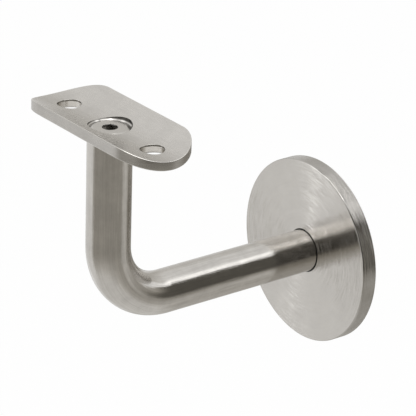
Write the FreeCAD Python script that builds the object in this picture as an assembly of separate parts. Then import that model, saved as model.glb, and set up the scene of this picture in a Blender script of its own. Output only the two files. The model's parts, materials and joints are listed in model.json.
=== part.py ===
import FreeCAD, Part
import math
import os

from FreeCAD import Vector

# Wall-mounted handrail bracket in brushed stainless steel, in millimetres.
# The origin is the centre of the wall disc's back face.
# -Y leads away from the wall, +Z is up, and the handrail runs along X.

# Wall disc, turned from round plate
disc_diameter = 70.0
disc_thickness = 6.0
disc_edge_break = 0.4
arm_seat_depth = 3.0
arm_seat_clearance = 0.15
arm_seat_edge_break = 0.2
stud_hole_diameter = 9.0

# Bent arm, one piece of round bar
arm_diameter = 16.0
arm_reach = 95.0
arm_rise = 65.5
arm_bend_radius = 24.0
arm_end_chamfer = 0.5

# Saddle plate that carries the handrail
saddle_length = 74.0
saddle_width = 30.0
saddle_mid_thickness = 3.3
saddle_trough_radius = 27.5
saddle_under_radius = 35.0
saddle_edge_break = 0.3
saddle_to_arm_gap = 0.02

# Two holes in the saddle for the handrail's fixings, sunk from below
rail_hole_diameter = 8.6
rail_hole_spacing = 50.0
rail_hole_sink = 0.8
hole_rim_break = 0.15

# M8 countersunk screw with a hexagon socket
screw_head_diameter = 15.3
screw_face_diameter = 12.0
screw_rim_drop = 0.45
screw_below_trough = 0.2
screw_length = 20.0
screw_tip_chamfer = 0.8
socket_width = 5.0
socket_depth = 2.8
socket_chamfer = 0.2
socket_turn = -37.0
pocket_clearance = 0.2
head_seat_gap = 0.02
sink_clearance = 0.15

# M8 threads are left plain, at the tapping drill's size
tapping_drill_diameter = 6.8
thread_clearance = 0.07
thread_mouth_chamfer = 0.7
wall_thread_depth = 25.0
screw_hole_spare = 4.0
drill_point_angle = 118.0

# How far a cutting shape reaches past the face that it cuts
overshoot = 1.0

# Places that follow from the sizes
arm_radius = arm_diameter / 2
seat_floor = arm_seat_depth - disc_thickness
trough_height = arm_rise + saddle_mid_thickness
screw_face_height = trough_height - screw_below_trough
screw_rim_height = screw_face_height - screw_rim_drop
screw_rim_radius = screw_head_diameter / 2 - screw_rim_drop
screw_cone_tip = screw_rim_height - screw_rim_radius
drill_radius = tapping_drill_diameter / 2
shank_radius = drill_radius - thread_clearance
leg_foot = Vector(0, -arm_reach, 0)
origin = Vector(0, 0, 0)
along_x = Vector(1, 0, 0)
along_y = Vector(0, 1, 0)
along_z = Vector(0, 0, 1)


def outline(start, *steps):
    """Closed wire from a start point, where a step is a line's end or an arc's middle and end."""
    sides = []
    here = start
    for step in [*steps, start]:
        if isinstance(step, tuple):
            middle, end = step
            sides.append(Part.Arc(here, middle, end).toShape())
        else:
            end = step
            sides.append(Part.LineSegment(here, end).toShape())
        here = end
    return Part.Wire(sides)


def lathe_points(*profile, axis=along_z):
    """Points from pairs of a radius and a place along the axis."""
    return [along_x * radius + axis * along for radius, along in profile]


def turned(*points, axis=along_z):
    """Solid of revolution from an outline in the half plane between +X and the axis."""
    return Part.Face(outline(*points)).revolve(origin, axis, 360)


def drilled(radius, depth, mouth_chamfer=0.0):
    """Drill's shape for a blind hole from the origin down, with its point and a broken mouth."""
    point = radius / math.tan(math.radians(drill_point_angle / 2))
    flare = radius + mouth_chamfer + overshoot
    return turned(*lathe_points(
        (0, overshoot), (flare, overshoot), (radius, -mouth_chamfer), (radius, -depth), (0, -depth - point)))


def bed_cylinder(radius, lowest):
    """Cylinder along the handrail whose lowest line passes over the leg at the given height."""
    start = leg_foot + Vector(-saddle_length, 0, lowest + radius)
    return Part.makeCylinder(radius, 2 * saddle_length, start, along_x)


def wall_disc():
    """Turned disc with a shallow seat for the arm and a hole for the wall stud."""
    outer = disc_diameter / 2
    seat = arm_radius + arm_seat_clearance
    stud = stud_hole_diameter / 2
    front = -disc_thickness
    profile = lathe_points(
        (stud, 0), (outer - disc_edge_break, 0), (outer, -disc_edge_break),
        (outer, front + disc_edge_break), (outer - disc_edge_break, front),
        (seat + arm_seat_edge_break, front), (seat, front + arm_seat_edge_break),
        (seat, seat_floor), (stud, seat_floor), axis=along_y)
    return turned(*profile, axis=along_y)


def arm_path():
    """Centre line of the arm, out from its seat, round the bend and up past the saddle's underside."""
    bend_centre = leg_foot + Vector(0, arm_bend_radius, arm_bend_radius)
    bend_start = bend_centre - along_z * arm_bend_radius
    bend_end = bend_centre - along_y * arm_bend_radius
    bend_middle = bend_centre - (along_y + along_z) * (arm_bend_radius * math.sqrt(0.5))
    top = leg_foot + along_z * (arm_rise + arm_radius)
    return Part.Wire([
        Part.LineSegment(along_y * seat_floor, bend_start).toShape(),
        Part.Arc(bend_start, bend_middle, bend_end).toShape(),
        Part.LineSegment(bend_end, top).toShape()])


def bracket_arm():
    """Round bar swept along its path, hollowed to fit the saddle and tapped at both ends."""
    start = along_y * seat_floor
    section = Part.Wire(Part.makeCircle(arm_radius, start, along_y))
    bar = arm_path().makePipeShell([section], True, False)
    wall_rim = [edge for edge in bar.Edges if edge.CenterOfMass.isEqual(start, overshoot)]
    bar = bar.makeChamfer(arm_end_chamfer, wall_rim)
    saddle_side = bed_cylinder(saddle_under_radius + saddle_to_arm_gap, arm_rise - saddle_to_arm_gap)

    wall_thread = drilled(drill_radius, wall_thread_depth, thread_mouth_chamfer)
    wall_thread.rotate(origin, along_x, -90)
    wall_thread.translate(start)

    screw_hole = drilled(drill_radius, screw_length + screw_hole_spare)
    screw_hole.translate(leg_foot + along_z * screw_face_height)
    # The head's cone reaches below the saddle, and the mouth of the hole is sunk to clear it
    sink_tip = screw_cone_tip - sink_clearance
    sink_size = trough_height - sink_tip
    sink = Part.makeCone(0, sink_size, sink_size, leg_foot + along_z * sink_tip)
    return bar.cut(saddle_side).cut(wall_thread).cut(screw_hole).cut(sink)


def saddle_outline():
    """Straight sides with fully round ends, seen from above."""
    side = saddle_width / 2
    straight = saddle_length / 2 - side
    end = along_x * (saddle_length / 2)
    return outline(
        Vector(-straight, side, 0), (-end, Vector(-straight, -side, 0)),
        Vector(straight, -side, 0), (end, Vector(straight, side, 0)))


def screw_pocket():
    """Countersink whose mouth lies at the bottom of the trough, with a straight wall above, on the Z axis."""
    wall = screw_head_diameter / 2 + pocket_clearance
    tip = screw_cone_tip - head_seat_gap
    top = trough_height + saddle_width
    return turned(*lathe_points((0, tip), (wall, tip + wall), (wall, top), (0, top)))


def rail_hole():
    """Plain hole that opens out towards the underside, on the Z axis."""
    radius = rail_hole_diameter / 2
    sink_top = arm_rise + rail_hole_sink
    flare_foot = sink_top - saddle_mid_thickness
    flare = radius + saddle_mid_thickness
    top = trough_height + saddle_width
    return turned(*lathe_points(
        (0, flare_foot), (flare, flare_foot), (radius, sink_top), (radius, top), (0, top)))


def rail_hole_rims(plate):
    """Edges where the rail holes open into the trough."""
    top_edges = [edge for edge in plate.Edges if edge.BoundBox.ZMin > trough_height - overshoot / 2]
    widest = rail_hole_diameter + overshoot
    return [edge for edge in top_edges if edge.BoundBox.YLength < widest and edge.isClosed()]


def saddle_plate():
    """Plate between two beds, the upper one for the handrail, with upright sides and three holes."""
    blank = Part.Face(saddle_outline())
    blank.translate(leg_foot + along_z * (arm_rise - overshoot))
    blank = blank.extrude(along_z * (saddle_mid_thickness + saddle_width / 2))
    plate = blank.common(bed_cylinder(saddle_under_radius, arm_rise))
    plate = plate.cut(bed_cylinder(saddle_trough_radius, trough_height)).Solids[0]
    plate = plate.makeChamfer(saddle_edge_break, plate.Edges)
    half_spacing = rail_hole_spacing / 2
    for cutter, place in [(screw_pocket(), 0), (rail_hole(), -half_spacing), (rail_hole(), half_spacing)]:
        cutter.translate(leg_foot + along_x * place)
        plate = plate.cut(cutter)
    plate = plate.Solids[0]
    return plate.makeChamfer(hole_rim_break, rail_hole_rims(plate))


def hexagon(width, height):
    """Outline of a hexagon, given across its flats, at a height on the Z axis."""
    corner = width / math.sqrt(3)
    turns = [math.radians(socket_turn + 60 * side) for side in range(6)]
    return outline(*[Vector(corner * math.cos(turn), corner * math.sin(turn), height) for turn in turns])


def saddle_screw():
    """Countersunk screw, its sharp rim bevelled away and its thread left plain at the core."""
    face = screw_face_height
    tip = face - screw_length
    body = turned(*lathe_points(
        (0, face), (screw_face_diameter / 2, face), (screw_rim_radius, screw_rim_height),
        (shank_radius, screw_cone_tip + shank_radius), (shank_radius, tip + screw_tip_chamfer),
        (shank_radius - screw_tip_chamfer, tip), (0, tip)))

    floor = face - socket_depth
    inscribed = socket_width / 2
    socket = Part.Face(hexagon(socket_width, floor)).extrude(along_z * (socket_depth + overshoot))
    drill_point = turned(*lathe_points((0, floor), (inscribed, floor), (0, floor - inscribed / math.sqrt(3))))
    mouth = socket_width / math.sqrt(3) + socket_chamfer
    lead = Part.makeCone(0, mouth + overshoot, mouth + overshoot, along_z * (face - mouth))
    screw = body.cut(socket.fuse(drill_point)).cut(lead)
    screw.translate(leg_foot)
    return screw


pieces = {
    "wall_disc": wall_disc(),
    "bracket_arm": bracket_arm(),
    "saddle_plate": saddle_plate(),
    "saddle_screw": saddle_screw(),
}

os.makedirs("parts", exist_ok=True)
for name, shape in pieces.items():
    solid = shape.Solids[0]
    solid.exportStep("parts/" + name + ".step")
    corners = solid.optimalBoundingBox(True, False)
    print(name, "has", len(shape.Solids), "solid, sound:", solid.isValid(), "volume", round(solid.Volume, 1))
    print("  from", round(corners.XMin, 2), round(corners.YMin, 2), round(corners.ZMin, 2),
          "to", round(corners.XMax, 2), round(corners.YMax, 2), round(corners.ZMax, 2))
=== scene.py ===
# %% [markdown]
# # A handrail bracket in brushed stainless steel
# The bracket has four pieces: a turned disc on the wall, a bent round bar, a curved saddle under the
# handrail, and the countersunk screw that holds the saddle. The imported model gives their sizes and
# places, in metres: -Y leads away from the wall, +Z is up and the handrail runs along X.

# %% Load the frame
import json
import math

import bmesh
import bpy
from mathutils import Matrix, Quaternion, Vector


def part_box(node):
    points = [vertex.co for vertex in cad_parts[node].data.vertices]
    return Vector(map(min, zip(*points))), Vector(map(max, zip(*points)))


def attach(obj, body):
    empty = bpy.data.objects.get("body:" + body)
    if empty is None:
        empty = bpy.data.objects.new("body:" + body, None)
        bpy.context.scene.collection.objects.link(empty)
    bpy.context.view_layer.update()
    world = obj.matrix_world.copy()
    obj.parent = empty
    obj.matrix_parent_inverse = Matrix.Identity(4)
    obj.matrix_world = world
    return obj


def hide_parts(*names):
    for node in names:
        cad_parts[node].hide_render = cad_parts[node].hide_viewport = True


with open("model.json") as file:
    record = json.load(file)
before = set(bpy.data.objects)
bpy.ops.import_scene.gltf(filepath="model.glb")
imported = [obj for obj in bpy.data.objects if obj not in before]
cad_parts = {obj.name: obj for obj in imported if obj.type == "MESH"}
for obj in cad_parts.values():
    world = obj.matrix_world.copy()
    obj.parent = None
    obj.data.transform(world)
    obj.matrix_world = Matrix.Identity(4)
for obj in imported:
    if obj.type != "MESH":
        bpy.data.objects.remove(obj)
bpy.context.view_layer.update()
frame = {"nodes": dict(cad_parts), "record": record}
mm = 0.001
mounts = {mount["name"]: mount for mount in frame["record"]["mounts"]}
print("nodes:", *sorted(frame["nodes"]))

# %% [markdown]
# ## Where the pieces are
# Every place that follows is read from the boxes of the four solids and from the mounts. Places could be
# typed in as numbers too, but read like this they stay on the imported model.

# %% Places from the frame
disc_low, disc_high = (Vector(corner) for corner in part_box("wall_disc"))
arm_low, arm_high = (Vector(corner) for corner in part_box("bracket_arm"))
saddle_low, saddle_high = (Vector(corner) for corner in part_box("saddle_plate"))
screw_low, screw_high = (Vector(corner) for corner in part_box("saddle_screw"))
drill_radius = mounts["wall_thread"]["dims"]["r_mm"] * mm

sideways = Vector((1, 0, 0))
from_wall = Vector((0, -1, 0))
upwards = Vector((0, 0, 1))
arm_radius = arm_high.x
seat_floor = -arm_high.y
leg_y = arm_low.y + arm_radius
leg_foot = Vector((0, leg_y, 0))
print(f"arm radius {arm_radius / mm:.2f} mm, leg at y {leg_y / mm:.2f} mm")

# %% [markdown]
# ## Round forms
# A box can't tell how round a form is. The bend of the bar, the two faces of the saddle and the saddle's
# thickness in the middle are written here as real sizes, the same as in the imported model.

# %% Round forms
bend_radius = 24 * mm
bend_y = leg_y + bend_radius
bend_z = bend_radius
trough_radius = 27.5 * mm
under_radius = 35 * mm
saddle_middle_thickness = 3.3 * mm
trough_z = saddle_low.z + saddle_middle_thickness
print(f"the trough's lowest line lies at z {trough_z / mm:.2f} mm")

# %% [markdown]
# ## Camera
# A long lens from the front, the right and above, as in the photograph. The camera's place comes from
# two angles and a distance, and a small roll stands in for the off-centre crop.

# %% Camera
image_width = 416
focal_pixels = 2695.2
camera_azimuth = math.radians(52.52)
camera_elevation = math.radians(23.47)
camera_roll = math.radians(1.83)
camera_distance = 0.9683
camera_target = Vector((0, -0.05139, 0.02786))

scene = bpy.context.scene
camera = bpy.data.objects.new("camera", bpy.data.cameras.new("camera"))
scene.collection.objects.link(camera)
scene.camera = camera
camera.data.sensor_width = 36
camera.data.lens = focal_pixels / image_width * camera.data.sensor_width
turn = (
    Matrix.Rotation(camera_azimuth, 4, "Z")
    @ Matrix.Rotation(math.pi / 2 - camera_elevation, 4, "X")
    @ Matrix.Rotation(camera_roll, 4, "Z"))
away = turn @ Vector((0, 0, camera_distance))
camera.matrix_world = Matrix.Translation(camera_target + away) @ turn
camera.data.clip_end = 20
scene.view_settings.view_transform = "Standard"
camera_place = tuple(round(value, 3) for value in camera.matrix_world.translation)
print(f"lens {camera.data.lens:.1f} mm, camera at {camera_place} m")

# %% [markdown]
# ## Shader maths as plain expressions
# A finish is mostly arithmetic on places: how far a point is from the disc's axis, how far round the bar
# it lies. `Wire` wraps an output socket and overloads the operators, so that `1 - mask` adds its Math
# node, and a vector adds Vector Math instead. `Nodes` adds any other node with one method.

# %% Shader maths
class Wire:
    """An output socket on which arithmetic adds nodes."""

    def __init__(self, nodes, socket):
        self.nodes = nodes
        self.socket = socket

    def maths(self, operation, *values, output=0):
        """Math on numbers, or Vector Math where a value is a vector."""
        vector = any(isinstance(value, Vector) or getattr(value, "is_vector", False) for value in values)
        kind = "ShaderNodeVectorMath" if vector else "ShaderNodeMath"
        if vector:
            values = [
                Vector([value] * 3) if isinstance(value, (int, float)) else value for value in values]
        return self.nodes.add(kind, {"operation": operation}, dict(enumerate(values)), output)

    @property
    def is_vector(self):
        return self.socket.type == "VECTOR"

    def __add__(self, other):
        return self.maths("ADD", self, other)

    def __radd__(self, other):
        return self.maths("ADD", other, self)

    def __sub__(self, other):
        return self.maths("SUBTRACT", self, other)

    def __rsub__(self, other):
        return self.maths("SUBTRACT", other, self)

    def __mul__(self, other):
        return self.maths("MULTIPLY", self, other)

    def __rmul__(self, other):
        return self.maths("MULTIPLY", other, self)

    def __truediv__(self, other):
        return self.maths("DIVIDE", self, other)

    def __lt__(self, other):
        return self.maths("LESS_THAN", self, other)

    def __abs__(self):
        return self.maths("ABSOLUTE", self)

    def least(self, other):
        return self.maths("MINIMUM", self, other)

    def most(self, other):
        return self.maths("MAXIMUM", self, other)

    def root(self):
        return self.maths("SQRT", self)

    def angle(self, ahead):
        """The angle of a right triangle, from its opposite side and the side ahead."""
        return self.maths("ARCTAN2", self, ahead)

    def split(self):
        """The three parts of a vector."""
        node = self.nodes.tree.nodes.new("ShaderNodeSeparateXYZ")
        self.nodes.tree.links.new(self.socket, node.inputs[0])
        return [Wire(self.nodes, output) for output in node.outputs]


class Nodes:
    """The node tree of a material or of the world."""

    def __init__(self, owner):
        owner.use_nodes = True
        self.tree = owner.node_tree
        self.tree.nodes.clear()

    def add(self, kind, settings=None, inputs=None, output=0):
        """Add a node, set it up, fill its sockets with values or links, and give one output."""
        node = self.tree.nodes.new(kind)
        for name, value in (settings or {}).items():
            setattr(node, name, value)
        for name, value in (inputs or {}).items():
            if isinstance(value, Wire):
                self.tree.links.new(value.socket, node.inputs[name])
            else:
                node.inputs[name].default_value = value
        return Wire(self, node.outputs[output])

    def finish(self, kind, shader):
        """The output node that shows a shader."""
        output = self.tree.nodes.new(kind)
        self.tree.links.new(shader.socket, output.inputs["Surface"])

    def vector(self, x, y, z):
        return self.add("ShaderNodeCombineXYZ", inputs={"X": x, "Y": y, "Z": z})

    def length(self, vector):
        return vector.maths("LENGTH", vector, output="Value")

    def unit(self, vector):
        return vector.maths("NORMALIZE", vector)

    def cross(self, first, second):
        return self.add("ShaderNodeVectorMath", {"operation": "CROSS_PRODUCT"}, {0: first, 1: second})

    def ease(self, value, low, high):
        """0 below low, 1 above high, and an S curve between."""
        return self.add(
            "ShaderNodeMapRange", {"interpolation_type": "SMOOTHSTEP"},
            {"Value": value, "From Min": low, "From Max": high})

    def between(self, value, low, high, soft):
        """1 between two limits, with a soft edge on both sides."""
        rise = self.ease(value, low - soft, low + soft)
        fall = self.ease(value, high - soft, high + soft)
        return rise * (1 - fall)

    def mix(self, amount, first, second):
        """One colour into another."""
        return self.add("ShaderNodeMix", {"data_type": "RGBA"}, {0: amount, 6: first, 7: second}, 2)

    def noise(self, place, detail=2.0, roughness=0.5):
        """Soft random values around one half, one bump to a unit of the given place."""
        return self.add(
            "ShaderNodeTexNoise",
            inputs={"Vector": place, "Scale": 1.0, "Detail": detail, "Roughness": roughness})


# %% [markdown]
# ## Studio
# Bare metal shows little but its surroundings, so the studio is built first. It is painted into the world
# by direction, as cards and walls would stand round the bracket: a pale floor, a pale wall on the left
# and behind, one tall lamp at the back right, and a dark room on the camera's side.

# %% Directions
world = bpy.data.worlds.new("studio")
scene.world = world
sky = Nodes(world)
direction = sky.add("ShaderNodeTexCoord", output="Generated")
east, north, up = direction.split()
degrees = 180 / math.pi
elevation = up.maths("ARCSINE", up) * degrees
turned = east.maths("ARCTAN2", east, 0 - north) * degrees
# Bearings start at the dark corner on the right and run round the back, the left and the front
first_bearing = 75
bearing = turned + (turned < first_bearing) * 360


def card(light, bearings, heights, soft, brightness):
    """Set a card before what is there already, its edges soft by so many degrees to both sides."""
    cover = sky.between(bearing, *bearings, soft) * sky.between(elevation, *heights, soft)
    return light + cover * (brightness - light)


print("nodes that tell the direction:", len(world.node_tree.nodes))

# %% [markdown]
# ## Walls and lamps
# In a studio these are paper walls, softboxes and a dark room, and the metal sees each as a patch of
# light. Glowing panels would do the same, but they light the floor as well and are slow to place. A card
# painted by direction has its bearings, its heights, the softness of its edge and its brightness, where 1
# is white paper. Each stands before the cards listed above it.

# %% Walls and lamps
# The room is dark, and darkest on the camera's side
dark_side = sky.ease(bearing, 386, 400) * (1 - sky.ease(elevation, 30, 44))
light = 0.10 - dark_side * 0.06 + sky.ease(elevation, 60, 90) * 0.2
# Walls: a dim one at the back right, a pale one behind and a white one on the left
lamp_edge = 153 - sky.ease(elevation, 20, 40) * 15
light = card(light, (136, 170), (-25, 20), 8, 0.38)
light = card(light, (lamp_edge, 239), (-8, 75), 4, 0.50 + sky.ease(elevation, 0, 60) * 0.35)
light = card(light, (236, 332), (-60, 62), 7, 0.80 + sky.ease(elevation, 35, 60) * 0.2)
# The tall lamp at the pale wall's edge, which draws the bright strip along the arm
light = card(light, (lamp_edge, lamp_edge + 20), (0, 54), 3, 0.95 + sky.ease(elevation, 15, 45) * 0.6)
# High lamps: two over the front and two under the ceiling
light = card(light, (312, 336), (36, 58), 5, 1.5)
light = card(light, (338, 401), (43.5, 60), 3, 1.25)
light = card(light, (333, 445), (62, 78), 4, 1.5)
light = card(light, (60, 140), (55, 78), 5, 1.5)
# The narrow lamp at the front left, which draws the strip on the leg and the fans on the disc
light = card(light, (314, 328), (-8, 26), 7, 2.3)
# Low pale cards at the back left and at the front
light = card(light, (216, 245), (-34, 4), 7, 0.75)
light = card(light, (340, 390), (-18, 20), 6, 0.9)
print("nodes with walls and lamps:", len(world.node_tree.nodes))

# %% [markdown]
# ## Floor as the metal sees it
# The bracket stands over white paper, and the undersides of the metal show it. The paper is palest right
# below the bracket, lies in shade behind it and is lit beside the tall lamp. A real plane would show its
# far edge in the steel, so this floor is painted by direction too, and fades in below the horizon.

# %% Floor as the metal sees it
depth = 0 - elevation
floor_shade = sky.between(bearing, 145, 215, 12) * sky.between(depth, 29, 60, 8)
by_lamp = sky.between(bearing, 128, 160, 6) * (1 - sky.ease(depth, 26, 44))
floor_light = 0.31 + sky.ease(depth, 18, 62) * 0.37 + by_lamp * 0.25 - floor_shade * 0.2
# The white wall on the left reaches down to the floor and stays as it is
on_floor = sky.ease(depth, 8, 22) * (1 - sky.between(bearing, 239, 331, 8))
light = light + on_floor * (floor_light - light)
# A patch of light on the floor at the left, then the pale paper right below
light = card(light, (262, 276), (-42, -30), 5, 1.0)
light_right_below = 0.68
light = light + sky.ease(depth, 40, 62) * (1 - floor_shade) * (light_right_below - light)
print("nodes with the floor:", len(world.node_tree.nodes))

# %% [markdown]
# ## Backdrop
# The photograph is a cut-out on white, while the steel in it shows a darker room with a warm tint in its
# shadows. So the world has two faces: the metal sees the studio, and the camera sees white.

# %% Backdrop
dark_tint = (1.065, 1.0, 0.87, 1.0)
bright_tint = (1.0, 1.0, 1.0, 1.0)
tint = sky.mix(sky.ease(light, 0.0, 1.0), dark_tint, bright_tint)
studio = sky.add("ShaderNodeBackground", inputs={"Color": tint, "Strength": light})
white = sky.add("ShaderNodeBackground", inputs={"Color": (1, 1, 1, 1), "Strength": 1.0})
camera_sees_it = sky.add("ShaderNodeLightPath", output="Is Camera Ray")
backdrop = sky.add("ShaderNodeMixShader", inputs={0: camera_sees_it, 1: studio, 2: white})
sky.finish("ShaderNodeOutputWorld", backdrop)
print("world nodes:", len(world.node_tree.nodes))

# %% [markdown]
# ## Floor
# A wide sheet of paper lies well below the bracket. To the camera it is all but white, like the backdrop,
# and the metal does not see it, because the world already holds the floor that the metal shows.

# %% Floor
floor_width = 6
floor_z = -0.16
bpy.ops.object.select_all(action="DESELECT")
bpy.ops.mesh.primitive_plane_add(size=floor_width, location=(0, 0, floor_z))
floor = bpy.context.object
floor.name = "floor"
floor.visible_glossy = False
floor_paint = bpy.data.materials.new("floor_paint")
paint = Nodes(floor_paint)
pale = paint.add("ShaderNodeBsdfDiffuse", inputs={"Color": (0.85, 0.85, 0.84, 1)})
glow = paint.add("ShaderNodeEmission", inputs={"Color": (1, 1, 1, 1), "Strength": 1.0})
camera_sees_it = paint.add("ShaderNodeLightPath", output="Is Camera Ray")
glow_share = 0.97
shown = paint.add("ShaderNodeMixShader", inputs={0: camera_sees_it * glow_share, 1: pale, 2: glow})
paint.finish("ShaderNodeOutputMaterial", shown)
floor.data.materials.append(floor_paint)
print("floor at z", floor_z, "m")

# %% [markdown]
# ## Overhead lamp
# One big soft lamp hangs above. The world alone lights the steel, and the lamp only adds a faint sheen to
# the faces that look up, as a ceiling light would.

# %% Overhead lamp
lamp_data = bpy.data.lights.new("overhead_lamp", "AREA")
lamp_data.size = 0.8
lamp_data.energy = 4
lamp = bpy.data.objects.new("overhead_lamp", lamp_data)
lamp.location = (0, -0.05, 1.2)
scene.collection.objects.link(lamp)
print("overhead lamp:", lamp_data.size, "m wide,", lamp_data.energy, "W")

# %% [markdown]
# ## Working by hand, in code
# The pieces are modelled with the tools that a person would use in edit mode. Only the selecting is done
# in code: `pick` selects what passes a test on the place of each corner. `modify` applies one modifier,
# and `combine` cuts one shape out of another, as a drill or a milling cutter does. A cut leaves slivers
# where faces almost meet, and merging them keeps the mesh closed and clean.

# %% Selecting and cutting
same_length = 0.005 * mm
sliver_gap = 0.002 * mm
sliver_edge = 0.001 * mm
weld_gap = 0.0005 * mm
cut_tolerance = 1e-7
overshoot = 1 * mm


def near(value, target):
    """Whether two lengths are the same, to a few thousandths of a millimetre."""
    return abs(value - target) < same_length


def pick(piece, kind, test):
    """In edit mode, select the corners, edges or faces that pass a test at all their corners."""
    bpy.ops.mesh.select_mode(type=kind)
    bpy.ops.mesh.select_all(action="DESELECT")
    mesh = bmesh.from_edit_mesh(piece.data)
    for part in {"VERT": mesh.verts, "EDGE": mesh.edges, "FACE": mesh.faces}[kind]:
        corners = [part] if kind == "VERT" else part.verts
        if all(test(corner.co) for corner in corners):
            part.select = True
    mesh.select_flush_mode()
    bmesh.update_edit_mesh(piece.data)


def modify(piece, kind, **settings):
    """Put a modifier on a piece, set it up and apply it."""
    bpy.context.view_layer.objects.active = piece
    modifier = piece.modifiers.new(kind.lower(), kind)
    for name, value in settings.items():
        setattr(modifier, name, value)
    bpy.ops.object.modifier_apply(modifier=modifier.name)


def combine(piece, tool, operation="DIFFERENCE"):
    """Cut a tool's shape out of a piece, or join the two, merge its slivers and put the tool away."""
    modify(piece, "BOOLEAN", operation=operation, object=tool, solver="EXACT")
    bpy.ops.object.select_all(action="DESELECT")
    piece.select_set(True)
    bpy.ops.object.mode_set(mode="EDIT")
    bpy.ops.mesh.select_all(action="SELECT")
    bpy.ops.mesh.remove_doubles(threshold=sliver_gap)
    bpy.ops.mesh.dissolve_degenerate(threshold=sliver_edge)
    bpy.ops.object.mode_set(mode="OBJECT")
    mesh = tool.data
    bpy.data.objects.remove(tool)
    bpy.data.meshes.remove(mesh)


# %% [markdown]
# ## A lathe
# Disc, screw and every drill are round, so one helper turns them all. A circle is added, then extruded,
# moved and resized from ring to ring, which is how a turner follows a profile. A profile that comes back
# to its first ring closes on itself; any other gets a flat face at both ends.

# %% Lathe
def lathe(name, centre, along, profile, corners=96, turn=0.0):
    """Turn a piece round an axis, from pairs of a radius and a place along the axis."""
    closed = profile[0] == profile[-1]
    radius, place = profile[0]
    stand = Quaternion(along, turn) @ upwards.rotation_difference(along)
    bpy.ops.object.select_all(action="DESELECT")
    bpy.ops.mesh.primitive_circle_add(
        vertices=corners, radius=radius, fill_type="NOTHING" if closed else "NGON",
        location=centre + along * place, rotation=stand.to_euler())
    piece = bpy.context.object
    piece.name = name
    bpy.ops.object.transform_apply()
    bpy.ops.object.mode_set(mode="EDIT")
    for next_radius, next_place in profile[1:]:
        move = tuple(along * (next_place - place))
        bpy.ops.mesh.extrude_region_move(TRANSFORM_OT_translate={"value": move})
        growth = [next_radius / radius] * 3
        bpy.ops.transform.resize(value=growth, center_override=centre + along * next_place)
        radius, place = next_radius, next_place
    bpy.ops.mesh.select_all(action="SELECT")
    bpy.ops.mesh.remove_doubles(threshold=weld_gap)
    bpy.ops.mesh.normals_make_consistent(inside=False)
    bpy.ops.object.mode_set(mode="OBJECT")
    return piece


def round_ring(piece, centre, along, radius, place, width):
    """Round the edge of a turned piece where it has a radius at a place along the axis."""
    bpy.ops.object.mode_set(mode="EDIT")
    pick(piece, "EDGE", lambda corner: near((corner - centre).dot(along), place)
         and near((corner - centre).cross(along).length, radius))
    bpy.ops.mesh.bevel(offset=width, segments=3, affect="EDGES")
    bpy.ops.object.mode_set(mode="OBJECT")


# %% [markdown]
# ## Wall disc
# The real disc is turned from plate: a flat blank with a broken edge, a shallow seat for the arm's end
# and a hole for the wall stud. It could be a cylinder with holes cut into it. Turning the whole section
# in one go keeps every face a neat ring, which the fine rings of the finish follow.

# %% Disc
disc_radius = disc_high.x
disc_front = -disc_low.y
disc_edge_break = 0.4 * mm
seat_edge_break = 0.2 * mm
seat_clearance = 0.15 * mm
seat_radius = arm_radius + seat_clearance
stud_radius = mounts["stud_hole"]["dims"]["r_mm"] * mm
disc = lathe(
    "disc", Vector(), from_wall,
    [(stud_radius, 0), (disc_radius, 0), (disc_radius, disc_front), (seat_radius, disc_front),
     (seat_radius, seat_floor), (stud_radius, seat_floor), (stud_radius, 0)], corners=256)
round_ring(disc, Vector(), from_wall, disc_radius, 0, disc_edge_break)
round_ring(disc, Vector(), from_wall, disc_radius, disc_front, disc_edge_break)
round_ring(disc, Vector(), from_wall, seat_radius, disc_front, seat_edge_break)
print("disc faces:", len(disc.data.polygons))

# %% [markdown]
# ## Arm
# The arm is one round bar, bent cold over a former. A curve with a round bevel would give the same tube,
# but a mesh can be drilled and milled, so the bar is drawn out as it is made: a circle is extruded to the
# start of the bend, spun through a quarter turn about the former's centre, and extruded up.

# %% Bent bar
arm_end_chamfer = 0.5 * mm
bend_steps = 32
spare_above = 2 * mm
arm = lathe(
    "arm", Vector(), from_wall,
    [(arm_radius - arm_end_chamfer, seat_floor), (arm_radius, seat_floor + arm_end_chamfer),
     (arm_radius, -bend_y)])
bpy.ops.object.mode_set(mode="EDIT")
pick(arm, "FACE", lambda corner: near(corner.y, bend_y))
bpy.ops.mesh.delete(type="ONLY_FACE")
pick(arm, "EDGE", lambda corner: near(corner.y, bend_y))
bpy.ops.mesh.spin(steps=bend_steps, angle=math.pi / 2, center=(0, bend_y, bend_z), axis=sideways)
pick(arm, "EDGE", lambda corner: near(corner.z, bend_z) and corner.y < bend_y - arm_radius)
leg_length = arm_high.z + spare_above - bend_z
bpy.ops.mesh.extrude_region_move(TRANSFORM_OT_translate={"value": (0, 0, leg_length)})
bpy.ops.mesh.edge_face_add()
bpy.ops.mesh.select_all(action="SELECT")
bpy.ops.mesh.normals_make_consistent(inside=False)
bpy.ops.object.mode_set(mode="OBJECT")
print("bar reaches y", round(min(corner.co.y for corner in arm.data.vertices) / mm, 3))

# %% [markdown]
# ## The arm's top
# The bar's top is milled hollow, to lie under the saddle's round underside. Moving its corners up to the
# curve would stretch the faces of the leg, so it is cut as in the workshop: the cutter is a cylinder along
# the handrail, and it leaves a hair's breadth below the saddle.

# %% Milled top
gap_under_saddle = 0.02 * mm
mill_radius = under_radius + gap_under_saddle
mill = lathe(
    "mill", Vector((0, leg_y, saddle_low.z + under_radius)), sideways,
    [(mill_radius, -2 * arm_radius), (mill_radius, 2 * arm_radius)], corners=360)
combine(arm, mill)
print("arm faces:", len(arm.data.polygons))

# %% [markdown]
# ## Threads
# Both ends of the arm are tapped for M8, and the screw carries the same thread. A thread is one outline
# carried round and up: a flat crest, a flank to each side and a flat root, as high as one pitch. The
# Screw modifier carries it round, and two cuts square off the ends of the rod.

# %% Threaded rod
pitch = 1.25 * mm
crest_width = pitch / 8
flank_angle = math.radians(30)
thread_steps = 48


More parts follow.
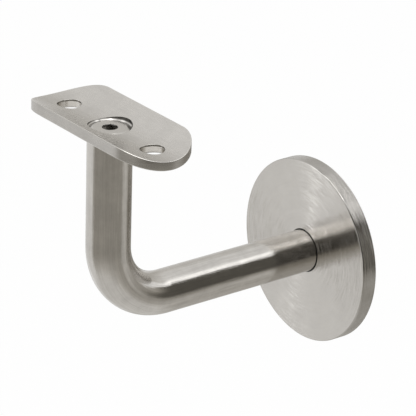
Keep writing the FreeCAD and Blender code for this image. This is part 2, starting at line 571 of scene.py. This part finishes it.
def threaded_rod(name, foot, along, turns, core_radius, crest_radius):
    """A rod with a thread, from a foot along an axis, as long as a number of turns."""
    depth = crest_radius - core_radius
    ridge_width = crest_width + 2 * depth * math.tan(flank_angle)
    bpy.ops.object.select_all(action="DESELECT")
    bpy.ops.mesh.primitive_plane_add(size=1, rotation=(math.pi / 2, 0, 0))
    rod = bpy.context.object
    rod.name = name
    bpy.ops.object.transform_apply()
    bpy.ops.object.mode_set(mode="EDIT")
    bpy.ops.mesh.delete(type="ONLY_FACE")
    pick(rod, "EDGE", lambda corner: corner.x < 0)
    bpy.ops.mesh.delete(type="EDGE")
    bpy.ops.mesh.select_all(action="SELECT")
    bpy.ops.transform.resize(value=(depth, 1, ridge_width), center_override=(0, 0, 0))
    pick(rod, "VERT", lambda corner: corner.x > 0)
    bpy.ops.transform.resize(value=(1, 1, crest_width / ridge_width), center_override=(0, 0, 0))
    bpy.ops.mesh.select_all(action="SELECT")
    bpy.ops.transform.translate(value=(core_radius + depth / 2, 0, -2 * pitch))
    pick(rod, "VERT", lambda corner: corner.x < core_radius + depth / 2 and corner.z > -2 * pitch)
    bpy.ops.mesh.extrude_vertices_move(TRANSFORM_OT_translate={"value": (0, 0, pitch - ridge_width)})
    bpy.ops.object.mode_set(mode="OBJECT")
    modify(rod, "SCREW", axis="Z", steps=thread_steps, render_steps=thread_steps, screw_offset=pitch,
           iterations=turns + 4, use_merge_vertices=True, merge_threshold=weld_gap)
    bpy.ops.object.mode_set(mode="EDIT")
    for height, side in [(0, -1), (turns * pitch, 1)]:
        bpy.ops.mesh.select_all(action="SELECT")
        bpy.ops.mesh.bisect(
            plane_co=(0, 0, height), plane_no=(0, 0, side), use_fill=True, clear_outer=True,
            threshold=cut_tolerance)
    bpy.ops.mesh.select_all(action="SELECT")
    bpy.ops.mesh.normals_make_consistent(inside=False)
    bpy.ops.object.mode_set(mode="OBJECT")
    rod.rotation_euler = upwards.rotation_difference(along).to_euler()
    rod.location = foot
    return rod


# %% [markdown]
# ## Tapped hole in the wall end
# The hole takes the stud that holds the bracket on the wall. It could be one cut with a threaded rod that
# has a drill's point. Two cuts in the order of the workshop are simpler: a drill with a broken mouth and a
# point, then a tap, whose core is a little slimmer than the drill so that it only leaves the grooves.

# %% Tapped hole in the wall end
tap_core = drill_radius - 0.1 * mm
tap_crest = 4.0 * mm
wall_tap_turns = 19
needle = 0.01 * mm
drill_point_angle = math.radians(118)
drill_tip = drill_radius / math.tan(drill_point_angle / 2)
thread_depth = 25 * mm
mouth_chamfer = 0.7 * mm
wall_drill = lathe(
    "wall_drill", from_wall * seat_floor, from_wall,
    [(drill_radius + mouth_chamfer + overshoot, -overshoot), (drill_radius, mouth_chamfer),
     (drill_radius, thread_depth), (needle, thread_depth + drill_tip)])
combine(arm, wall_drill)
wall_tap_foot = from_wall * (seat_floor - 2 * overshoot)
wall_tap = threaded_rod("wall_tap", wall_tap_foot, from_wall, wall_tap_turns, tap_core, tap_crest)
combine(arm, wall_tap)
print("arm faces:", len(arm.data.polygons))

# %% [markdown]
# ## Tapped hole in the top
# The saddle's screw goes in here. The drill opens out at the top as the cone of the screw's head does, a
# little wider, because the head reaches below the saddle.

# %% Tapped hole in the top
screw_rim_drop = 0.45 * mm
sink_clearance = 0.15 * mm
hole_spare = 4 * mm
top_tap_turns = 15
screw_rim_radius = screw_high.x
screw_rim_z = screw_high.z - screw_rim_drop
cone_tip = screw_rim_z - screw_rim_radius
sink_tip = cone_tip - sink_clearance
hole_floor = screw_low.z - hole_spare
top_drill = lathe(
    "top_drill", leg_foot, upwards,
    [(needle, hole_floor - drill_tip), (drill_radius, hole_floor), (drill_radius, sink_tip + drill_radius),
     (arm_radius, sink_tip + arm_radius)])
combine(arm, top_drill)
top_tap_foot = leg_foot + upwards * (screw_low.z - 2 * pitch)
top_tap = threaded_rod("top_tap", top_tap_foot, upwards, top_tap_turns, tap_core, tap_crest)
combine(arm, top_tap)
print("arm faces:", len(arm.data.polygons))

# %% [markdown]
# ## Saddle
# The saddle is a flat bar with full-round ends whose two faces are curved to different radii: the upper
# one is the trough for the handrail, and the lower one follows it more gently. Two big cylinders could cut
# both, but then the rounded edges would come last, on a face of many strips. Here the plate is finished
# flat first, with its rounded edges and holes, and then both faces are raised towards the sides.

# %% Flat plate
end_steps = 72
half_width = (saddle_high.y - saddle_low.y) / 2
half_straight = saddle_high.x - half_width
bpy.ops.object.select_all(action="DESELECT")
bpy.ops.mesh.primitive_plane_add(size=1, location=(0, leg_y, saddle_low.z))
saddle = bpy.context.object
saddle.name = "saddle"
saddle.scale = (2 * half_straight, 2 * half_width, 1)
bpy.ops.object.transform_apply()
bpy.ops.object.mode_set(mode="EDIT")
bpy.ops.mesh.delete(type="ONLY_FACE")
for side in (-1, 1):
    pick(saddle, "EDGE", lambda corner: near(corner.x, side * half_straight))
    bpy.ops.mesh.delete(type="EDGE")
    pick(saddle, "VERT", lambda corner: near(corner.x, side * half_straight) and corner.y > leg_y)
    bpy.ops.mesh.spin(
        steps=end_steps, angle=math.pi, center=(side * half_straight, leg_y, saddle_low.z),
        axis=(0, 0, side))
bpy.ops.mesh.select_all(action="SELECT")
bpy.ops.mesh.remove_doubles(threshold=weld_gap)
bpy.ops.mesh.edge_face_add()
bpy.ops.mesh.extrude_region_move(TRANSFORM_OT_translate={"value": (0, 0, saddle_middle_thickness)})
bpy.ops.mesh.select_all(action="SELECT")
bpy.ops.mesh.normals_make_consistent(inside=False)
plate_corners = bmesh.from_edit_mesh(saddle.data).verts
print("plate from x", round(min(corner.co.x for corner in plate_corners) / mm, 3))

# %% [markdown]
# ## Edges and rail holes
# The plate's edges are barely broken, as on a polished part. The edge is what catches the light, so its
# rounding is modelled, in three facets. Each rail hole is drilled straight through and opens out below;
# its upper edge is rounded too, but less.

# %% Edges and rail holes
saddle_edge_break = 0.3 * mm
hole_edge_break = 0.15 * mm
hole_flare = 2 * mm
hole_sink = 0.8 * mm


def on_outline(corner):
    """Whether a corner lies on the plate's outline, seen from above."""
    past_straight = max(abs(corner.x) - half_straight, 0)
    return near(math.hypot(past_straight, corner.y - leg_y), half_width)


for height in (saddle_low.z, trough_z):
    pick(saddle, "EDGE", lambda corner: near(corner.z, height) and on_outline(corner))
    bpy.ops.mesh.bevel(offset=saddle_edge_break, segments=3, profile=0.35, affect="EDGES")
bpy.ops.object.mode_set(mode="OBJECT")

rail_hole_radius = mounts["rail_holes"]["dims"]["hole_r_mm"] * mm
half_spacing = mounts["rail_holes"]["dims"]["spacing_x_mm"] * mm / 2
sink_top = saddle_low.z + hole_sink
for side in (-1, 1):
    hole_foot = leg_foot + sideways * (side * half_spacing)
    rail_drill = lathe(
        "rail_drill", hole_foot, upwards,
        [(rail_hole_radius + hole_flare, sink_top - hole_flare), (rail_hole_radius, sink_top),
         (rail_hole_radius, trough_z + overshoot)])
    combine(saddle, rail_drill)
    round_ring(saddle, hole_foot, upwards, rail_hole_radius, trough_z, hole_edge_break)
print("plate faces:", len(saddle.data.polygons))

# %% [markdown]
# ## Round faces
# To bend a face it needs corners to bend at, so the plate is cut into narrow rows along its length. Then
# each corner of the upper face rises as the handrail's curve does at its distance from the middle, and the
# lower face rises less. A Displace modifier does it, with the rise as the weight of each corner.

# %% Rows
rows = 48
bpy.ops.object.mode_set(mode="EDIT")
for row in range(1, rows):
    row_y = saddle_low.y + row / rows * 2 * half_width
    bpy.ops.mesh.select_all(action="SELECT")
    bpy.ops.mesh.bisect(plane_co=(0, row_y, 0), plane_no=(0, 1, 0), threshold=cut_tolerance)
bpy.ops.object.mode_set(mode="OBJECT")


def rise(y, radius):
    """How far a round bed has climbed above its lowest line."""
    return radius - math.sqrt(radius ** 2 - (y - leg_y) ** 2)


middle_z = (saddle_low.z + trough_z) / 2
for face, radius in [("upper", trough_radius), ("lower", under_radius)]:
    highest = rise(saddle_high.y, radius)
    group = saddle.vertex_groups.new(name=face)
    for corner in saddle.data.vertices:
        if (corner.co.z > middle_z) == (face == "upper"):
            group.add([corner.index], rise(corner.co.y, radius) / highest, "REPLACE")
    modify(saddle, "DISPLACE", vertex_group=face, direction="Z", strength=highest, mid_level=0)
print("saddle top at z", round(max(corner.co.z for corner in saddle.data.vertices) / mm, 3))

# %% [markdown]
# ## Pocket for the screw
# The pocket comes last, because it stands upright in the curved trough: its wall is deep at the sides and
# shallow along the middle, and the cone below it starts at one height all round. In the photograph the
# cone shows as the bright crescent and the wall as the dark arc above it.

# %% Pocket
pocket_clearance = 0.2 * mm
head_seat_gap = 0.02 * mm
pocket_radius = screw_rim_radius + screw_rim_drop + pocket_clearance
pocket_tip = cone_tip - head_seat_gap
pocket_foot = saddle_low.z - overshoot
counterbore = lathe(
    "counterbore", leg_foot, upwards,
    [(pocket_foot - pocket_tip, pocket_foot), (pocket_radius, pocket_tip + pocket_radius),
     (pocket_radius, saddle_high.z + overshoot)], corners=144)
combine(saddle, counterbore)
print("saddle faces:", len(saddle.data.polygons))

# %% [markdown]
# ## Screw
# A countersunk M8 screw is cold-formed, and its thread is rolled on. Head and shank are one outline on the
# lathe, with a soft rim and a broken edge round the face, and the thread is joined to the shank. A thread
# painted on as bump would do where it can't be seen, but then the screw couldn't be shown on its own.

# %% Head and shank
tip_chamfer = 0.8 * mm
shank_radius = drill_radius - 0.07 * mm
screw_core = shank_radius - 0.13 * mm
screw_crest = 3.93 * mm
screw_turns = 10
face_z = screw_high.z
face_radius = 5.9 * mm
screw = lathe(
    "screw", leg_foot, upwards,
    [(shank_radius - tip_chamfer, screw_low.z), (shank_radius, screw_low.z + tip_chamfer),
     (shank_radius, cone_tip + shank_radius),
     (screw_rim_radius - 0.05 * mm, screw_rim_z - 0.05 * mm),
     (screw_rim_radius - 0.02 * mm, screw_rim_z),
     (screw_rim_radius - 0.10 * mm, screw_rim_z + 0.037 * mm),
     (face_radius + 0.18 * mm, face_z - 0.03 * mm), (face_radius, face_z)], corners=144)
thread_foot = leg_foot + upwards * (screw_low.z + pitch)
screw_thread = threaded_rod("screw_thread", thread_foot, upwards, screw_turns, screw_core, screw_crest)
combine(screw, screw_thread, "UNION")
print("screw faces:", len(screw.data.polygons))

# %% [markdown]
# ## Hexagon socket
# A six-sided punch presses the socket into the head, over a drilled hole whose point stays below it. The
# mouth has a small cone, cut last, so that the key finds its way in.

# %% Hexagon socket
socket_width = 5.0 * mm
socket_depth = 2.8 * mm
socket_turn = math.radians(-7)
socket_corner = socket_width / math.sqrt(3)
socket_floor = face_z - socket_depth
punch = lathe(
    "punch", leg_foot, upwards,
    [(needle, socket_floor - socket_corner / 2), (socket_corner, socket_floor),
     (socket_corner, face_z + overshoot)], corners=6, turn=socket_turn)
combine(screw, punch)
lead_radius = socket_corner - 0.05 * mm
lead_depth = 0.6 * mm
lead_in = lathe(
    "lead_in", leg_foot, upwards,
    [(lead_radius - lead_depth, face_z - lead_depth), (lead_radius + overshoot, face_z + overshoot)])
combine(screw, lead_in)
print("screw faces:", len(screw.data.polygons))

# %% [markdown]
# ## Brushed steel
# A brushed surface is covered with fine scratches that all run one way. Each scratch tips the surface a
# little across its own direction, so a reflection is drawn out across the scratches and stays sharp along
# them. The Anisotropic socket could blur it too, but without a single scratch to be seen. So the finish
# tips the normal across the scratches by a fine noise, and makes the tone uneven by coarser ones.

# %% Brushed steel
steel_tone = Vector((0.62, 0.60, 0.57))
smooth_angle = math.radians(35)
cloud_size = 7 * mm
streak_tip = 0.2
band_share = 0.7
wear_gloss = 1.5


def new_finish(name):
    """A material, its nodes, the place of a point and the surface's normal."""
    material = bpy.data.materials.new(name)
    nodes = Nodes(material)
    place = nodes.add("ShaderNodeTexCoord", output="Object")
    normal = nodes.add("ShaderNodeNewGeometry", output="Normal")
    return material, nodes, place, normal


def grain(across, along, width, length, detail=2.0):
    """Scratches of a width and a length, as noise from about -0.3 to 0.3."""
    return across.nodes.noise(across * (1 / width) + along * (1 / length), detail, 0.6) - 0.5


def brushed_steel(
        place, normal, across, along, tip_way, blur, gloss, streaks, clouds, shade=1.0, lean=0.0):
    """Steel scratched along one way.

    Across and along place a point on the scratches, and tip_way is where they tip the surface. Blur is
    how far they do, gloss is the roughness between them, and streaks and clouds are how uneven the tone
    is. Shade scales the tone, which paints shade and light on the steel, and lean tips all of the surface
    one way, as a burr does.
    """
    nodes = place.nodes
    hair = grain(across, along, width=0.035 * mm, length=9 * mm)
    streak = grain(across, along, width=0.5 * mm, length=16 * mm, detail=4.0)
    band = grain(across, along, width=2.5 * mm, length=30 * mm, detail=3.0)
    cloud = nodes.noise(place * (1 / cloud_size), detail=5.0, roughness=0.65) - 0.5
    tipped = nodes.unit(normal + tip_way * (hair * blur + streak * (streaks * streak_tip) + lean))
    uneven = streak * streaks + band * (streaks * band_share) + cloud * clouds
    tone = nodes.vector(*steel_tone) * ((1 + uneven) * shade)
    roughness = gloss * (1 - uneven * wear_gloss)
    shader = nodes.add(
        "ShaderNodeBsdfPrincipled",
        inputs={"Base Color": tone, "Metallic": 1.0, "Roughness": roughness, "Normal": tipped})
    nodes.finish("ShaderNodeOutputMaterial", shader)


def hand_over(piece, node, finish):
    """Smooth a piece, dress it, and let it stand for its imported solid."""
    bpy.ops.object.select_all(action="DESELECT")
    piece.select_set(True)
    bpy.context.view_layer.objects.active = piece
    bpy.ops.object.shade_smooth_by_angle(angle=smooth_angle)
    modify(piece, "WEIGHTED_NORMAL", keep_sharp=True)
    piece.data.materials.clear()
    piece.data.materials.append(finish)
    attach(piece, "root")
    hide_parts(node)
    print(piece.name, "stands for", node)


# %% [markdown]
# ## Turned rings on the disc
# The disc is brushed on the lathe, so its scratches are rings. They blur a reflection outwards from the
# middle and keep it sharp round the disc: that is why the arm is mirrored as one straight dark band, and
# why a lamp shows as a light fan. The same rings run round the rim, which is a little darker, and the
# narrow gap round the arm is painted dark, as shade.

# %% Disc finish
disc_finish, nodes, place, normal = new_finish("turned_disc_steel")
x, y, z = place.split()
spoke = nodes.vector(x, 0.0, z)
from_axis = nodes.length(spoke)
ring_way = nodes.unit(nodes.cross(from_wall, spoke))
tip_way = nodes.cross(ring_way, normal)
across = nodes.vector(from_axis - y, 0.0, 0.0)
on_rim = nodes.ease(from_axis, disc_radius - disc_edge_break, disc_radius - 0.1 * mm)
# Painted shade: the seat's wall and edge round the arm are darkened in the tone
seat_gap_shade = 1 - nodes.ease(from_axis, seat_radius + 0.18 * mm, seat_radius + 0.3 * mm)
seat_gap_shade = seat_gap_shade * nodes.ease(0 - y, seat_floor - 0.5 * mm, seat_floor)
shade = (1 - on_rim * 0.2) * (1 - seat_gap_shade * 0.85)
brushed_steel(
    place, normal, across, nodes.vector(0.0, x, z), tip_way,
    blur=1.7, gloss=0.14, streaks=0.07, clouds=0.14, shade=shade)
hand_over(disc, "wall_disc", disc_finish)

# %% [markdown]
# ## Lengthwise scratches on the arm
# The bar was ground along its length before it was bent, and the scratches follow the bend. Noise laid
# along one axis would break off where the bend begins. So a point is placed by its angle round the bar and
# its run along it: straight, round the bend and straight again.

# %% Arm finish
arm_finish, nodes, place, normal = new_finish("brushed_arm_steel")
x, y, z = place.split()
back = (y - bend_y).least(0.0)
down = (z - bend_z).least(0.0)
spread = nodes.length(nodes.vector(0.0, back, down))
outward = spread - bend_radius
round_way = nodes.unit(nodes.vector(x, outward, 0.0))
along_bend = (0 - back).angle(0 - down) * bend_radius
run = (0 - y).least(-bend_y) + along_bend + z.most(bend_z)
bar_way = nodes.vector(0.0, down / spread, 0 - back / spread)
tip_way = nodes.unit(nodes.cross(bar_way, normal))
brushed_steel(
    place, normal, round_way * arm_radius, nodes.vector(0.0, 0.0, run), tip_way,
    blur=0.45, gloss=0.13, streaks=0.34, clouds=0.40)
hand_over(arm, "bracket_arm", arm_finish)

# %% [markdown]
# ## Satin saddle with bored holes
# The saddle's faces are brushed along the handrail, and its upright sides round the plate. The holes are
# bored: their walls have fine rings, smooth at the mouth and rougher below, with painted shade on the
# smooth walls and painted light on the rough ones. The pocket's cone is as bright as the cutter left it,
# but has painted shade at its mouth and in the gap round the screw. Two materials would need a clean seam
# along each hole, so one does both, with masks that are 1 inside the holes.

# %% Saddle finish
saddle_finish, nodes, place, normal = new_finish("satin_saddle_steel")
x, y, z = place.split()
from_middle = y - leg_y
from_screw = nodes.length(nodes.vector(x, from_middle, 0.0))
from_rail_hole = nodes.length(nodes.vector(abs(x) - half_spacing, from_middle, 0.0))
# Inside the pocket, inside a rail hole, and below the smooth mouth of a rail hole
in_pocket = 1 - nodes.ease(from_screw, pocket_radius + 0.01 * mm, pocket_radius + 0.04 * mm)
in_rail_hole = 1 - nodes.ease(from_rail_hole, rail_hole_radius + 0.16 * mm, rail_hole_radius + 0.2 * mm)
bored = in_pocket.most(in_rail_hole)
below_face = trough_z + trough_radius - (trough_radius ** 2 - from_middle * from_middle).root() - z
burr_size = 0.6 * mm
burr = nodes.noise(place * (1 / burr_size)) * 0.5 * mm
# The rough lower wall of a rail hole, which also gets painted light in the tone
rough_wall_painted_lighter = in_rail_hole * nodes.ease(below_face + burr, 0.8 * mm, 0.95 * mm)

# Scratches run along X on the faces, and level with the ground on all that stands upright
facing_up = abs(normal.split()[2])
upright = (1 - nodes.ease(facing_up, 0.4, 0.6)).most(bored)
along_way = nodes.add(
    "ShaderNodeMix", {"data_type": "VECTOR"},
    {0: upright, 4: sideways, 5: nodes.cross(upwards, normal)}, output=1)
tip_way = nodes.unit(nodes.cross(along_way, normal))
across = nodes.vector(y * (1 - upright), 0.0, z * upright)
along = nodes.vector(0.0, x, y * upright)

# The edge is worn smooth and has a painted highlight, and the bores are smooth. Painted shade lies on the
# upright sides, the upper bore walls and in the corners of the pocket, and painted light on the rough
# walls
past_straight = (abs(x) - half_straight).most(0.0)
from_edge = half_width - nodes.length(nodes.vector(past_straight, from_middle, 0.0))
# Worn smooth at the edge, which also gets a painted highlight in the tone
wear_and_edge_highlight = nodes.between(from_edge, 0.05 * mm, 0.35 * mm, 0.05 * mm)
sides = upright - bored
blur = (1.0 - sides * 0.5 - bored * 0.85 + rough_wall_painted_lighter) * (1 - wear_and_edge_highlight * 0.7)
gloss = (0.28 - bored * 0.16 + rough_wall_painted_lighter * 0.1) * (1 - wear_and_edge_highlight * 0.4)
# Painted shade on the smooth upright walls of the holes and the pocket
bore_wall_shade = bored * (1 - nodes.ease(facing_up, 0.1, 0.4)) * (1 - rough_wall_painted_lighter)
# Painted shade in the gap between the screw's rim and the pocket's cone
off_screw = nodes.ease(from_screw, screw_rim_radius + 0.04 * mm, screw_rim_radius + 0.22 * mm)
screw_gap_shade = in_pocket * (1 - off_screw)
# Painted shade at the pocket's mouth
pocket_mouth_shade = in_pocket * nodes.ease(from_screw, pocket_radius - 0.22 * mm, pocket_radius - 0.1 * mm)
# Painted light and shade in the tone: brighter worn edge and rough wall, darker upright sides, bore walls,
# pocket mouth and screw gap
shade = (1 + wear_and_edge_highlight * 0.12 - sides * 0.14 + rough_wall_painted_lighter * 0.3) * (1 - bore_wall_shade * 0.5)
shade = shade * (1 - screw_gap_shade * 0.75) * (1 - pocket_mouth_shade * 0.65)
brushed_steel(
    place, normal, across, along, tip_way, blur, gloss,
    streaks=0.16, clouds=0.32, shade=shade, lean=rough_wall_painted_lighter * 0.45)
hand_over(saddle, "saddle_plate", saddle_finish)

# %% [markdown]
# ## Turned screw
# The head is turned, so its fine scratches are rings round the screw's axis, and it is smoother than the
# saddle. The socket is painted dark as shade, since little light gets in. Its mouth has the darkest
# painted shade, which keeps the hexagon's outline crisp.

# %% Screw finish
screw_finish, nodes, place, normal = new_finish("satin_screw_steel")
x, y, z = place.split()
spoke = nodes.vector(x, y - leg_y, 0.0)
from_axis = nodes.length(spoke)
ring_way = nodes.unit(nodes.cross(upwards, spoke))
tip_way = nodes.cross(ring_way, normal)
across = nodes.vector(from_axis + z, 0.0, 0.0)
below_face = face_z - z
# Painted shade in the hexagon socket, darkest at its mouth
socket_shade = (1 - nodes.ease(from_axis, 3.0 * mm, 3.1 * mm)) * nodes.ease(below_face, -0.01 * mm, 0.06 * mm)
socket_shade = socket_shade * (1 - nodes.ease(below_face, 6 * mm, 6.1 * mm))
shade = 1 - socket_shade * (0.85 - nodes.ease(below_face, 0.3 * mm, 0.5 * mm) * 0.35)
brushed_steel(
    place, normal, across, nodes.vector(0.0, x, y), tip_way,
    blur=0.5, gloss=0.2, streaks=0.08, clouds=0.10, shade=shade)
hand_over(screw, "saddle_screw", screw_finish)
